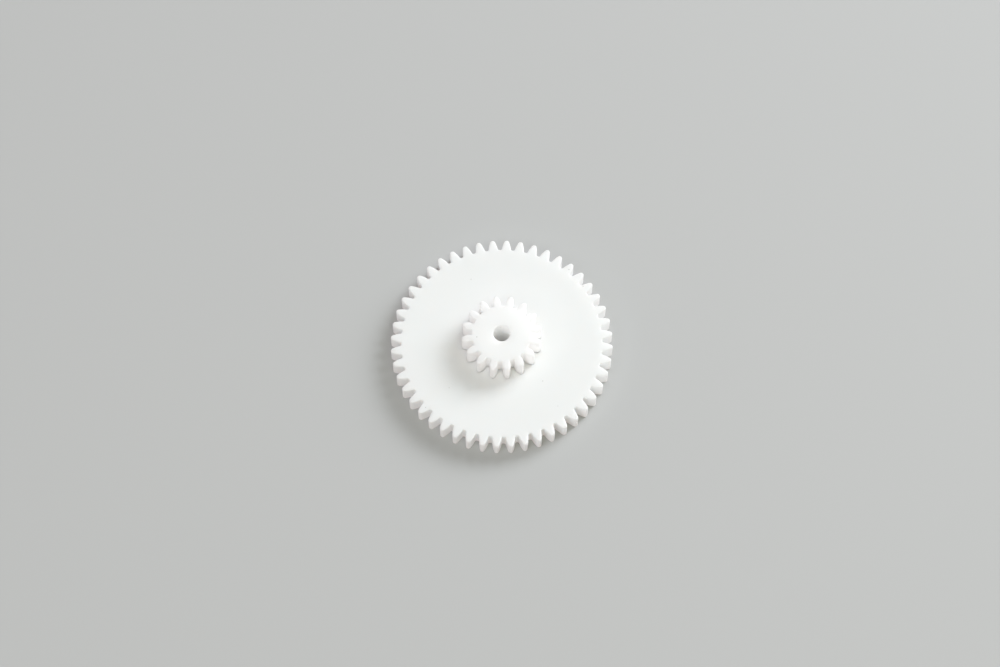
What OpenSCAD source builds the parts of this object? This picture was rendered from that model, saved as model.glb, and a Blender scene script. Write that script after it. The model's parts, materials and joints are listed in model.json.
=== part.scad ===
// Compound spur gear: a large toothed wheel and a small pinion on one axis.
// The pinion carries the shaft bore. Its keyed spigot is pressed into the wheel,
// so the two turn as one. The axis is Z and the wheel's back face lies at z = 0.

/* [Teeth] */
// Gear module: pitch diameter divided by number of teeth
gear_module = 0.5; // [0.5:0.05:1]
// Pressure angle in degrees
pressure_angle = 20; // [18:0.5:22]
// Number of teeth on the wheel
wheel_teeth = 48; // [40:2:60]
// Number of teeth on the pinion
pinion_teeth = 16; // [16:1:20]
// Depth of the teeth below the pitch circle, as a share of the module
root_depth = 1.35; // [1.2:0.05:1.4]
// Rounding at the tooth tips, as a share of the module
tip_rounding = 0.38; // [0.1:0.02:0.4]
// Rounding at the tooth roots, as a share of the module
root_rounding = 0.36; // [0.1:0.02:0.4]

/* [Widths] */
// Thickness of the wheel
wheel_w = 2.3; // [2:0.1:4]
// Length of the pinion's teeth above the wheel
pinion_w = 2.7; // [2:0.1:6]

/* [Shaft bore] */
// Diameter of the bore that the shaft presses into
bore_d = 1.9; // [1:0.05:2]
// Depth of the lead-in chamfer at each end of the bore
bore_chamfer = 0.1; // [0.05:0.01:0.2]

/* [Keyed seat] */
// Diameter of the round spigot below the pinion's teeth
spigot_d = 4.8; // [4:0.1:5]
// Diameter across the outer ends of the drive keys
key_reach_d = 6.2; // [5.6:0.1:6.4]
// Width of one drive key
key_w = 1; // [0.6:0.1:1.4]
// Number of drive keys
key_count = 4; // [2:1:6]
// Chamfer at the mouth of the wheel's socket, on the back face
socket_chamfer = 0.1; // [0.05:0.01:0.2]

/* [Hidden] */
$fn = 96;

// A margin by which cutting shapes pass through the faces they cut
cut = 0.5;
addendum = gear_module;
dedendum = root_depth * gear_module;
// Largest share of a tip's or a gap's half width that its rounding may take up
round_limit = 0.9;
total_w = wheel_w + pinion_w;
// Half a wheel pitch: the pinion's first tooth stands over a gap of the wheel
pinion_phase = 180 / wheel_teeth;
flank_steps = 5;
round_steps = 4;

function pitch_r(teeth) = gear_module * teeth / 2;
function tip_r(teeth) = pitch_r(teeth) + addendum;
function root_r(teeth) = pitch_r(teeth) - dedendum;
function base_r(teeth) = pitch_r(teeth) * cos(pressure_angle);

// Involute function, in degrees
function involute(angle) = tan(angle) * 180 / PI - angle;

// Half the angle that a tooth spans at radius r. The flank is radial below the base circle.
function half_angle(teeth, r) =
    90 / teeth + involute(pressure_angle)
    - involute(acos(min(1, base_r(teeth) / max(r, base_r(teeth)))));

function polar(r, angle) = [r * cos(angle), r * sin(angle)];

// Points of a quadratic curve that rounds the corner between a and b
function rounded(a, corner, b) = [
    for (i = [0:round_steps])
        let (t = i / round_steps)
        (1 - t) * (1 - t) * a + 2 * t * (1 - t) * corner + t * t * b
];

// One side of a tooth that is centred on the X axis, from the root gap up to the tip
function tooth_side(teeth) =
    let (
        low = root_r(teeth),
        high = tip_r(teeth),
        root_round = root_rounding * gear_module,
        tip_round = tip_rounding * gear_module,
        flank_low = low + root_round,
        flank_high = high - tip_round,
        root_half = half_angle(teeth, low),
        tip_half = half_angle(teeth, high),
        root_turn = min(root_round / low * 180 / PI, (180 / teeth - root_half) * round_limit),
        tip_turn = min(tip_round / high * 180 / PI, tip_half * round_limit)
    )
    concat(
        rounded(
            polar(low, -root_half - root_turn),
            polar(low, -root_half),
            polar(flank_low, -half_angle(teeth, flank_low))
        ),
        [
            for (i = [1:flank_steps - 1])
                let (r = flank_low + (flank_high - flank_low) * i / flank_steps)
                polar(r, -half_angle(teeth, r))
        ],
        rounded(
            polar(flank_high, -half_angle(teeth, flank_high)),
            polar(high, -tip_half),
            polar(high, -tip_half + tip_turn)
        )
    );

function turned(points, angle) = [
    for (p = points)
        [p.x * cos(angle) - p.y * sin(angle), p.x * sin(angle) + p.y * cos(angle)]
];

function mirrored_back(points) = [
    for (i = [len(points) - 1:-1:0]) [points[i].x, -points[i].y]
];

// The closed outline of all the teeth of one gear
function gear_outline(teeth) =
    let (
        side = tooth_side(teeth),
        tooth = concat(side, mirrored_back(side))
    )
    [for (i = [0:teeth - 1]) each turned(tooth, i * 360 / teeth)];

module toothed_disc(teeth, width) {
    linear_extrude(height = width)
        polygon(gear_outline(teeth));
}

// The round spigot with its drive keys, which line up with the pinion's teeth.
// The wheel's socket has the same shape.
module keyed_spigot(length) {
    cylinder(d = spigot_d, h = length);
    for (i = [0:key_count - 1])
        rotate([0, 0, pinion_phase + i * 360 / key_count])
            translate([0, -key_w / 2, 0])
                cube([key_reach_d / 2, key_w, length]);
}

// Through bore with a lead-in chamfer at each end
module shaft_bore() {
    bore_r = bore_d / 2;
    translate([0, 0, -cut])
        cylinder(r = bore_r, h = total_w + 2 * cut);
    for (end = [[0, 0], [total_w, 180]])
        translate([0, 0, end[0]])
            rotate([end[1], 0, 0])
                translate([0, 0, -bore_chamfer])
                    cylinder(r1 = bore_r + 2 * bore_chamfer, r2 = bore_r, h = 2 * bore_chamfer);
}

module gear_wheel() {
    color("azure")
        difference() {
            toothed_disc(wheel_teeth, wheel_w);
            translate([0, 0, -cut])
                keyed_spigot(wheel_w + 2 * cut);
            translate([0, 0, -socket_chamfer])
                cylinder(
                    r1 = spigot_d / 2 + 2 * socket_chamfer,
                    r2 = spigot_d / 2,
                    h = 2 * socket_chamfer
                );
        }
}

module pinion() {
    color("snow")
        difference() {
            union() {
                keyed_spigot(wheel_w);
                translate([0, 0, wheel_w])
                    rotate([0, 0, pinion_phase])
                        toothed_disc(pinion_teeth, pinion_w);
            }
            shaft_bore();
        }
}

gear_wheel();
pinion();
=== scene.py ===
"""Looks of the compound spur gear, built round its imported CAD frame. Lengths are in metres.

The two mouldings are remeshed from the gear's own dimensions, with the involute flanks,
rounded edges, keyed seat and bore lead-ins that the real mouldings have, and get an
acetal material of their own. The camera, floor and lights come after them.
"""
import json
import math

import bmesh
import bpy
from mathutils import Matrix, Vector


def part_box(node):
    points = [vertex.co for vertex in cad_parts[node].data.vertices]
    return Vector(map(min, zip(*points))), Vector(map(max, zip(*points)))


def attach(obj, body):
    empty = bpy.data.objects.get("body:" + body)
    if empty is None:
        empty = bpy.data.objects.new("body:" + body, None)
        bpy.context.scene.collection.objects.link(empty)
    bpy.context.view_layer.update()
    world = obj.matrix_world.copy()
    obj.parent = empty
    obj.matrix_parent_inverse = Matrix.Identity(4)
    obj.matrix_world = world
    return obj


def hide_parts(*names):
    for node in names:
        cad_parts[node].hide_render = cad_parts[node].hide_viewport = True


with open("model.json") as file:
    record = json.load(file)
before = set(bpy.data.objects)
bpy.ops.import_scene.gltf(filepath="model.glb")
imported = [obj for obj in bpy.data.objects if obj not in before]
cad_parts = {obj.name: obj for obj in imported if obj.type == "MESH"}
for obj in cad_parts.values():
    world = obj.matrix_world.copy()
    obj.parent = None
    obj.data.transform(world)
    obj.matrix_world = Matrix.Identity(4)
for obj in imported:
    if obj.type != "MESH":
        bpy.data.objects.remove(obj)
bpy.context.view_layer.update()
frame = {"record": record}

MM = 0.001
MOUNTS = {mount["name"]: mount for mount in frame["record"]["mounts"]}
WHEEL_LOW, WHEEL_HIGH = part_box("gear_wheel")
PINION_LOW, PINION_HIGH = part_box("pinion")

# Tooth form, as in the CAD model
MODULE = 0.5 * MM
PRESSURE_ANGLE = math.radians(20)
ADDENDUM = MODULE
DEDENDUM = 1.35 * MODULE
TIP_ROUND = 0.38 * MODULE
ROOT_ROUND = 0.36 * MODULE
# The most of a tooth's tip or of a gap's floor that the rounding takes up
ROUND_LIMIT = 0.9

# Keyed seat and bore, as in the CAD model
SPIGOT_RADIUS = 2.4 * MM
KEY_REACH = 3.1 * MM
KEY_WIDTH = 1.0 * MM
KEY_COUNT = 4
SOCKET_CHAMFER = 0.1 * MM
SPIGOT_CHAMFER = 0.05 * MM
BORE_RADIUS = MOUNTS["shaft_bore"]["dims"]["r_mm"] * MM
BORE_LENGTH = MOUNTS["shaft_bore"]["dims"]["length_mm"] * MM
BORE_LEAD_IN = (PINION_HIGH.z - PINION_LOW.z - BORE_LENGTH) / 2
# Width of the plain ring of web that surrounds the keys
HUB_MARGIN = 0.6 * MM

# Radii on a moulding's open edges and on an edge that sits on the wheel, and the narrow
# flat strip beside them that keeps the faces' shading flat
EDGE_ROUND = 0.12 * MM
SEATED_ROUND = 0.01 * MM
SUPPORT = 0.02 * MM

# Fineness of the meshes
ROUND_STEPS = 6
FLANK_STEPS = 8
EDGE_STEPS = 4
WALL_STEPS = 6
WEB_STEPS = 24
END_FACE_STEPS = 6
MERGE_DISTANCE = 0.0005 * MM
SHARP_ANGLE = math.radians(35)


# ---------------------------------------------------------------- outlines

def involute(angle):
    return math.tan(angle) - angle


def polar(radius, angle):
    return Vector((radius * math.cos(angle), radius * math.sin(angle)))


def rounded(start, corner, end):
    """Points of a quadratic curve that rounds the corner between start and end."""
    points = []
    for i in range(ROUND_STEPS + 1):
        t = i / ROUND_STEPS
        points.append((1 - t) ** 2 * start + 2 * t * (1 - t) * corner + t * t * end)
    return points


class Gear:
    """The tooth form and the place of one gear, with some columns of points on each tooth."""

    def __init__(self, mount, low, high, phase, columns):
        self.pitch_radius = MOUNTS[mount]["dims"]["r_mm"] * MM
        self.teeth = round(2 * self.pitch_radius / MODULE)
        self.tip_radius = self.pitch_radius + ADDENDUM
        self.root_radius = self.pitch_radius - DEDENDUM
        self.low = low
        self.high = high
        self.phase = phase
        self.columns = columns

    def half_angle(self, radius):
        """Half the angle that a tooth spans at a radius, constant below the base circle."""
        base = self.pitch_radius * math.cos(PRESSURE_ANGLE)
        roll = math.acos(min(1, base / max(radius, base)))
        return math.pi / (2 * self.teeth) + involute(PRESSURE_ANGLE) - involute(roll)

    def tooth_side(self):
        """One side of a tooth centred on +X, from the root circle up to the tip circle."""
        flank_low = self.root_radius + ROOT_ROUND
        flank_high = self.tip_radius - TIP_ROUND
        root_half = self.half_angle(self.root_radius)
        tip_half = self.half_angle(self.tip_radius)
        gap_half = math.pi / self.teeth - root_half
        root_turn = min(ROOT_ROUND / self.root_radius, gap_half * ROUND_LIMIT)
        tip_turn = min(TIP_ROUND / self.tip_radius, tip_half * ROUND_LIMIT)
        points = rounded(
            polar(self.root_radius, -root_half - root_turn),
            polar(self.root_radius, -root_half),
            polar(flank_low, -self.half_angle(flank_low)),
        )
        for i in range(1, FLANK_STEPS):
            radius = flank_low + (flank_high - flank_low) * i / FLANK_STEPS
            points.append(polar(radius, -self.half_angle(radius)))
        points += rounded(
            polar(flank_high, -self.half_angle(flank_high)),
            polar(self.tip_radius, -tip_half),
            polar(self.tip_radius, tip_turn - tip_half),
        )
        return points

    def outline(self):
        """All the teeth: for each, the middle of the gap before it, then side, tip and side."""
        side = self.tooth_side()
        other_side = [Vector((point.x, -point.y)) for point in reversed(side)]
        gap = polar(self.root_radius, -math.pi / self.teeth)
        tooth = [gap, *side, polar(self.tip_radius, 0), *other_side]
        points = []
        for i in range(self.teeth):
            turn = Matrix.Rotation(self.phase + 2 * math.pi * i / self.teeth, 2)
            points += [turn @ point for point in tooth]
        return points


def keyed_outline(count, grow=0.0):
    """The round spigot with its keys, as count points, grown outwards by a small margin."""
    radius = SPIGOT_RADIUS + grow
    reach = KEY_REACH + grow
    half_width = KEY_WIDTH / 2 + grow
    quarter = 2 * math.pi / KEY_COUNT
    foot = math.asin(half_width / radius)
    per_key = count // KEY_COUNT
    end_steps = per_key // 6
    side_steps = per_key // 10
    arc_steps = per_key - end_steps - 2 * side_steps
    corner = Vector((reach, half_width))
    foot_point = polar(radius, foot)
    key = [Vector((reach, half_width * (2 * i / end_steps - 1))) for i in range(end_steps)]
    key += [corner.lerp(foot_point, i / side_steps) for i in range(side_steps)]
    key += [
        polar(radius, foot + (quarter - 2 * foot) * i / arc_steps)
        for i in range(arc_steps)
    ]
    next_foot = polar(radius, quarter - foot)
    next_corner = Matrix.Rotation(quarter, 2) @ Vector((reach, -half_width))
    key += [next_foot.lerp(next_corner, i / side_steps) for i in range(side_steps)]
    points = []
    for i in range(KEY_COUNT):
        turn = Matrix.Rotation(PINION.phase + quarter * i, 2)
        points += [turn @ point for point in key]
    return points


def seat_outline(count, start, grow=0.0):
    """The keyed outline, counted from the start angle, so that its points face a circle's."""
    first = PINION.phase - math.atan2(KEY_WIDTH / 2, KEY_REACH)
    shift = round((first - start) / (2 * math.pi / count))
    points = keyed_outline(count, grow)
    return points[-shift:] + points[:-shift]


def circle(radius, count, start):
    return [polar(radius, start + 2 * math.pi * i / count) for i in range(count)]


def inset(points, distance):
    """A closed outline moved inwards along its normals, with its corners kept mitred."""
    moved = []
    for i, point in enumerate(points):
        before = (point - points[i - 1]).normalized()
        after = (points[(i + 1) % len(points)] - point).normalized()
        inward = Vector((-before.y - after.y, before.x + after.x)).normalized()
        mitre = max(0.5, inward.dot(Vector((-after.y, after.x))))
        moved.append(point + inward * (distance / mitre))
    return moved


def edge_profile(low, high, low_round, high_round):
    """(inset, height) pairs up the side of a moulding, from its lower to its upper face."""
    quarter = math.pi / 2
    profile = [(low_round + SUPPORT, low)]
    for i in range(EDGE_STEPS):
        angle = quarter * i / EDGE_STEPS
        rise = low_round * (1 - math.cos(angle))
        profile.append((low_round * (1 - math.sin(angle)), low + rise))
    wall_low = low + low_round
    wall_high = high - high_round
    for i in range(WALL_STEPS + 1):
        profile.append((0, wall_low + (wall_high - wall_low) * i / WALL_STEPS))
    for i in range(EDGE_STEPS):
        angle = quarter * (i + 1) / EDGE_STEPS
        rise = high_round * math.sin(angle)
        profile.append((high_round * (1 - math.cos(angle)), wall_high + rise))
    profile.append((high_round + SUPPORT, high))
    return profile


# ---------------------------------------------------------------- mesh building

def ring(bm, points, height):
    return [bm.verts.new((point.x, point.y, height)) for point in points]


def skin(bm, rings, flip=False):
    """Quads between each ring and the next, facing outwards where the rings go upwards."""
    for lower, upper in zip(rings, rings[1:]):
        for i in range(len(lower)):
            j = (i + 1) % len(lower)
            corners = [lower[i], lower[j], upper[j], upper[i]]
            bm.faces.new(reversed(corners) if flip else corners)


def fill_teeth(bm, gear, rim, height, faces_up):
    """Fills each tooth's face as a ladder, and returns the ring of vertices at its foot."""

    def face(*corners):
        bm.faces.new(corners if faces_up else reversed(corners))

    per_tooth = len(rim) // gear.teeth
    rung_count = (per_tooth - 2) // 2 - 1
    foot = []
    for t in range(gear.teeth):
        tooth = rim[t * per_tooth:(t + 1) * per_tooth]
        rungs = []
        for k in range(rung_count):
            left = tooth[1 + k]
            right = tooth[-1 - k]
            rung = [left]
            for c in range(1, gear.columns + 1):
                # The lowest rung is an arc of the root circle, and the highest a chord
                chord = left.co.xy.lerp(right.co.xy, c / (gear.columns + 1))
                arc = chord.normalized() * left.co.xy.length
                place = arc.lerp(chord, k / (rung_count - 1))
                rung.append(bm.verts.new((place.x, place.y, height)))
            rungs.append([*rung, right])
        for low_rung, high_rung in zip(rungs, rungs[1:]):
            for c in range(gear.columns + 1):
                face(low_rung[c], high_rung[c], high_rung[c + 1], low_rung[c + 1])
        cap = tooth[1 + rung_count:-rung_count]
        face(*cap, *reversed(rungs[-1]))
        foot += [tooth[0], *rungs[0]]
    return foot


def toothed_body(bm, gear, low_round, high_round):
    """The side wall of a gear and the faces of its teeth. Returns the two inner rings."""
    outline = gear.outline()
    profile = edge_profile(gear.low, gear.high, low_round, high_round)
    rings = [ring(bm, inset(outline, depth), height) for depth, height in profile]
    skin(bm, rings)
    low_foot = fill_teeth(bm, gear, rings[0], gear.low, faces_up=False)
    high_foot = fill_teeth(bm, gear, rings[-1], gear.high, faces_up=True)
    return low_foot, high_foot


def web_rings(bm, gear, foot, height, inner_radius, steps):
    """Rings on a flat face, from the foot of the teeth inwards to a circle."""
    outer_radius = gear.root_radius - 4 * EDGE_ROUND
    start = gear.phase - math.pi / gear.teeth
    rings = [foot]
    for i in range(steps + 1):
        radius = outer_radius + (inner_radius - outer_radius) * i / steps
        rings.append(ring(bm, circle(radius, len(foot), start), height))
    return rings


def finished(bm, name, material):
    """Turns the built mesh into an object with smooth curves and crisp corners."""
    bmesh.ops.remove_doubles(bm, verts=bm.verts, dist=MERGE_DISTANCE)
    bmesh.ops.recalc_face_normals(bm, faces=bm.faces)
    mesh = bpy.data.meshes.new(name)
    bm.to_mesh(mesh)
    bm.free()
    mesh.shade_smooth()
    mesh.set_sharp_from_angle(angle=SHARP_ANGLE)
    mesh.materials.append(material)
    piece = bpy.data.objects.new(name, mesh)
    bpy.context.scene.collection.objects.link(piece)
    return piece


# ---------------------------------------------------------------- the two mouldings

WHEEL = Gear("wheel_teeth", WHEEL_LOW.z, WHEEL_HIGH.z, 0.0, columns=1)
PINION = Gear("pinion_teeth", WHEEL_HIGH.z, PINION_HIGH.z, math.pi / WHEEL.teeth, columns=3)


def wheel_moulding(material):
    """The 48-tooth disc, with the keyed socket through its middle."""
    bm = bmesh.new()
    low_foot, high_foot = toothed_body(bm, WHEEL, EDGE_ROUND, EDGE_ROUND)
    count = len(low_foot)
    hub_radius = KEY_REACH + HUB_MARGIN
    low_web = web_rings(bm, WHEEL, low_foot, WHEEL.low, hub_radius, WEB_STEPS)
    high_web = web_rings(bm, WHEEL, high_foot, WHEEL.high, hub_radius, WEB_STEPS)
    skin(bm, low_web, flip=True)
    skin(bm, high_web)
    start = WHEEL.phase - math.pi / WHEEL.teeth
    socket = seat_outline(count, start)
    mouth_ring = ring(bm, seat_outline(count, start, SOCKET_CHAMFER), WHEEL.low)
    socket_rings = [
        ring(bm, socket, WHEEL.low + SOCKET_CHAMFER),
        ring(bm, socket, WHEEL.high),
    ]
    skin(bm, [low_web[-1], mouth_ring], flip=True)
    skin(bm, [mouth_ring, *socket_rings], flip=True)
    skin(bm, [high_web[-1], socket_rings[-1]])
    return finished(bm, "gear_wheel_moulding", material)


def bore_profile():
    """(radius, height) pairs up the bore, with a rounded lead-in at each end."""
    lead_in = []
    for i in range(EDGE_STEPS + 1):
        angle = math.pi / 2 * i / EDGE_STEPS
        radius = BORE_RADIUS + BORE_LEAD_IN * (1 - math.sin(angle))
        lead_in.append((radius, BORE_LEAD_IN * (1 - math.cos(angle))))
    low_end = [(radius, PINION_LOW.z + depth) for radius, depth in lead_in]
    high_end = [(radius, PINION_HIGH.z - depth) for radius, depth in reversed(lead_in)]
    return low_end + high_end


def pinion_moulding(material):
    """The 16-tooth pinion with its keyed spigot and the shaft bore through both."""
    bm = bmesh.new()
    low_foot, high_foot = toothed_body(bm, PINION, SEATED_ROUND, EDGE_ROUND)
    count = len(low_foot)
    start = PINION.phase - math.pi / PINION.teeth
    spigot = seat_outline(count, start)
    spigot_rings = [
        ring(bm, spigot, PINION.low),
        ring(bm, spigot, PINION_LOW.z + SPIGOT_CHAMFER),
        ring(bm, seat_outline(count, start, -SPIGOT_CHAMFER), PINION_LOW.z),
    ]
    skin(bm, [low_foot, *spigot_rings], flip=True)
    bore = [
        ring(bm, circle(radius, count, start), height)
        for radius, height in bore_profile()
    ]
    skin(bm, [spigot_rings[-1], *bore], flip=True)
    face_inner = BORE_RADIUS + 2 * BORE_LEAD_IN
    face_rings = web_rings(bm, PINION, high_foot, PINION.high, face_inner, END_FACE_STEPS)
    skin(bm, [*face_rings, bore[-1]])
    return finished(bm, "pinion_moulding", material)


# ---------------------------------------------------------------- material

SPECK_COLOUR = (0.3, 0.28, 0.25, 1)
ACETAL_IOR = 1.48
# Red light goes a little further through the plastic than green and blue
LIGHT_SPREAD = (1.0, 0.95, 0.92)


def feed(tree, socket, value):
    """Gives an input socket its value, which may be the output socket that feeds it."""
    if isinstance(value, bpy.types.NodeSocket):
        tree.links.new(value, socket)
    else:
        socket.default_value = value


def add_node(tree, kind, inputs, **settings):
    """Adds a shader node, with its inputs by name."""
    node = tree.nodes.new(kind)
    for name, value in settings.items():
        setattr(node, name, value)
    for name, value in inputs.items():
        feed(tree, node.inputs[name], value)
    return node


def noise(tree, place, feature_size, detail):
    """Noise whose features are about feature_size across."""
    inputs = {"Vector": place, "Scale": 1 / feature_size, "Detail": detail}
    return add_node(tree, "ShaderNodeTexNoise", inputs).outputs["Fac"]


def mapped(tree, value, low, high, to_low, to_high, **settings):
    """The value, with the range from low to high moved to the range from to_low to to_high."""
    inputs = {
        "Value": value,
        "From Min": low,
        "From Max": high,
        "To Min": to_low,
        "To Max": to_high,
    }
    return add_node(tree, "ShaderNodeMapRange", inputs, **settings).outputs["Result"]


def arithmetic(tree, operation, first, second):
    node = tree.nodes.new("ShaderNodeMath")
    node.operation = operation
    feed(tree, node.inputs[0], first)
    feed(tree, node.inputs[1], second)
    return node.outputs[0]


def mixed(tree, share, first, second):
    """A colour between first and second, each a colour or a socket."""
    node = tree.nodes.new("ShaderNodeMix")
    node.data_type = "RGBA"
    inputs = {socket.identifier: socket for socket in node.inputs}
    outputs = {socket.identifier: socket for socket in node.outputs}
    feed(tree, inputs["Factor_Float"], share)
    feed(tree, inputs["A_Color"], first)
    feed(tree, inputs["B_Color"], second)
    return outputs["Result_Color"]


def specks(tree, place):
    """A mask of the few tiny dark inclusions that white mouldings have."""
    cell_size = 0.7 * MM
    dot_core, dot_edge = 0.07, 0.12
    clean_share = 0.965
    inputs = {"Vector": place, "Scale": 1 / cell_size}
    cells = add_node(tree, "ShaderNodeTexVoronoi", inputs)
    dot = mapped(tree, cells.outputs["Distance"], dot_core, dot_edge, 1, 0)
    lottery = add_node(tree, "ShaderNodeSeparateColor", {"Color": cells.outputs["Color"]})
    drawn = arithmetic(tree, "GREATER_THAN", lottery.outputs["Red"], clean_share)
    return arithmetic(tree, "MULTIPLY", dot, drawn)


def scuffs(tree, place):
    """Fine straight handling marks, gathered in a few patches."""
    stretch = {"Vector": place, "Rotation": (0, 0, 0.6), "Scale": (1, 26, 1)}
    stretched = add_node(tree, "ShaderNodeMapping", stretch).outputs["Vector"]
    lines = mapped(tree, noise(tree, stretched, 2.2 * MM, 2), 0.6, 0.72, 0, 1)
    patches = mapped(tree, noise(tree, place, 4 * MM, 1), 0.5, 0.68, 0, 1)
    return arithmetic(tree, "MULTIPLY", lines, patches)


def acetal(name, pale, deep, light_depth):
    """White moulded acetal: satin, translucent to a depth, with faint mottling and scuffs."""
    material = bpy.data.materials.new(name)
    material.use_nodes = True
    tree = material.node_tree
    place = add_node(tree, "ShaderNodeTexCoord", {}).outputs["Object"]

    # Slow clouds between the two shades, with the specks over them
    mottling = mapped(tree, noise(tree, place, 3.5 * MM, 3), 0.35, 0.65, 0, 1)
    resin = mixed(tree, mottling, (*pale, 1), (*deep, 1))
    speck_share = arithmetic(tree, "MULTIPLY", specks(tree, place), 0.7)
    colour = mixed(tree, speck_share, resin, SPECK_COLOUR)

    # Satin, a little smoother along the scuffs
    marks = scuffs(tree, place)
    satin = mapped(tree, noise(tree, place, 1.1 * MM, 4), 0.3, 0.7, 0.36, 0.46)
    polish = arithmetic(tree, "MULTIPLY", marks, 0.06)
    roughness = arithmetic(tree, "SUBTRACT", satin, polish)

    # The mould's grain and slow swells, less the depth of the scuffs
    grain = arithmetic(tree, "MULTIPLY", noise(tree, place, 0.09 * MM, 3), 0.12)
    swell = noise(tree, place, 2.4 * MM, 1)
    moulded = arithmetic(tree, "ADD", grain, swell)
    scratches = arithmetic(tree, "MULTIPLY", marks, 0.08)
    worn = arithmetic(tree, "SUBTRACT", moulded, scratches)
    relief = {"Height": worn, "Strength": 0.5, "Distance": 0.02 * MM}
    normal = add_node(tree, "ShaderNodeBump", relief).outputs["Normal"]

    shader = tree.nodes["Principled BSDF"]
    feed(tree, shader.inputs["Base Color"], colour)
    feed(tree, shader.inputs["Roughness"], roughness)
    feed(tree, shader.inputs["Normal"], normal)
    shader.inputs["IOR"].default_value = ACETAL_IOR
    shader.inputs["Subsurface Weight"].default_value = 1.0
    shader.inputs["Subsurface Radius"].default_value = LIGHT_SPREAD
    shader.inputs["Subsurface Scale"].default_value = light_depth
    return material


# ---------------------------------------------------------------- camera, floor and lights

SOFTBOX_DISTANCE = 0.6
SOFTBOX_SIZE = 0.3


def direction(azimuth, elevation):
    """Unit vector towards a place round the object. Azimuth 0 is in front of it, at -Y."""
    a = math.radians(azimuth)
    e = math.radians(elevation)
    return Vector((math.sin(a) * math.cos(e), -math.cos(a) * math.cos(e), math.sin(e)))


def add_camera():
    """A long lens looking steeply down at the wheel's upper face."""
    azimuth, elevation, distance = -4.94, 68.4, 0.3
    lens, sensor_width = 95.9, 36
    aim_up, aim_right = 0.96 * MM, -0.19 * MM
    data = bpy.data.cameras.new("camera")
    data.lens = lens
    data.sensor_width = sensor_width
    data.clip_start = 0.01
    data.clip_end = 10
    camera = bpy.data.objects.new("camera", data)
    bpy.context.scene.collection.objects.link(camera)
    back = direction(azimuth, elevation)
    right = direction(azimuth + 90, 0)
    up = back.cross(right)
    centre = Vector((0, 0, WHEEL.high))
    camera.location = centre + back * distance
    aim = centre + up * aim_up + right * aim_right
    camera.rotation_euler = (aim - camera.location).to_track_quat("-Z", "Y").to_euler()
    bpy.context.scene.camera = camera


def add_floor():
    """A plain, pale, matt floor, far wider than the gear."""
    material = bpy.data.materials.new("floor_paint")
    material.use_nodes = True
    shader = material.node_tree.nodes["Principled BSDF"]
    shader.inputs["Base Color"].default_value = (0.4, 0.4, 0.4, 1)
    shader.inputs["Roughness"].default_value = 0.85
    half_side = 1.0
    mesh = bpy.data.meshes.new("floor")
    corners = [
        (-half_side, -half_side, 0),
        (half_side, -half_side, 0),
        (half_side, half_side, 0),
        (-half_side, half_side, 0),
    ]
    mesh.from_pydata(corners, [], [(0, 1, 2, 3)])
    mesh.materials.append(material)
    floor = bpy.data.objects.new("floor", mesh)
    bpy.context.scene.collection.objects.link(floor)


def add_softbox(name, azimuth, elevation, power, colour):
    """A round area light that faces the gear."""
    data = bpy.data.lights.new(name, "AREA")
    data.shape = "DISK"
    data.size = SOFTBOX_SIZE
    data.energy = power
    data.color = colour
    light = bpy.data.objects.new(name, data)
    towards = direction(azimuth, elevation)
    light.location = towards * SOFTBOX_DISTANCE
    light.rotation_euler = (-towards).to_track_quat("-Z", "Y").to_euler()
    bpy.context.scene.collection.objects.link(light)


def add_room():
    """Warm light from all round, strongest near the horizon, as from the walls of a studio."""
    world = bpy.data.worlds.new("room")
    world.use_nodes = True
    tree = world.node_tree
    towards = add_node(tree, "ShaderNodeTexCoord", {}).outputs["Generated"]
    height = add_node(tree, "ShaderNodeSeparateXYZ", {"Vector": towards}).outputs["Z"]
    background = tree.nodes["Background"]
    background.inputs["Color"].default_value = (1.0, 0.78, 0.75, 1)
    wall_top, dark_from = 0.2, 0.6
    wall_strength = 0.82
    strength = mapped(
        tree, height, wall_top, dark_from, wall_strength, 0, interpolation_type="SMOOTHSTEP"
    )
    feed(tree, background.inputs["Strength"], strength)
    bpy.context.scene.world = world


def add_lights():
    """Softboxes behind the gear on its right, and weaker ones over its front and left."""
    cool = (0.93, 0.98, 1.0)
    soft_blue = (0.93, 0.97, 1.0)
    greenish = (0.88, 1.0, 0.72)
    add_softbox("key_light", azimuth=130, elevation=38, power=2.27, colour=cool)
    add_softbox("side_light", azimuth=115, elevation=28, power=1.68, colour=cool)
    add_softbox("fill_light", azimuth=-50, elevation=50, power=1.0, colour=soft_blue)
    add_softbox("front_light", azimuth=15, elevation=62, power=0.6, colour=greenish)
    add_room()
    scene = bpy.context.scene
    scene.view_settings.view_transform = "Standard"
    # A soft contrast, in which white plastic stays below full white outside its highlights
    scene.view_settings.gamma = 1.5
    # White plastic hands light on many times before it is lost
    scene.cycles.diffuse_bounces = 16
    scene.cycles.max_bounces = 24


# ---------------------------------------------------------------- the scene

# The wheel's base colour is darker and cooler than the pinion's, though both are white acetal:
# painted shade, so the thin web reads dimmer than the pinion's top
wheel_plastic = acetal("wheel_plastic", (0.87, 0.875, 0.875), (0.86, 0.87, 0.87), 1.0 * MM)
wheel = wheel_moulding(wheel_plastic)
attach(wheel, "root")
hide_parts("gear_wheel")

# The pinion's base colour is paler than the wheel's: painted light, which brightens its top and
# lifts the shade inside its bore
pinion_plastic = acetal("pinion_plastic", (0.985, 0.972, 0.968), (0.98, 0.967, 0.963), 2.0 * MM)
pinion = pinion_moulding(pinion_plastic)
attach(pinion, "root")
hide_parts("pinion")

add_camera()
add_floor()
add_lights()
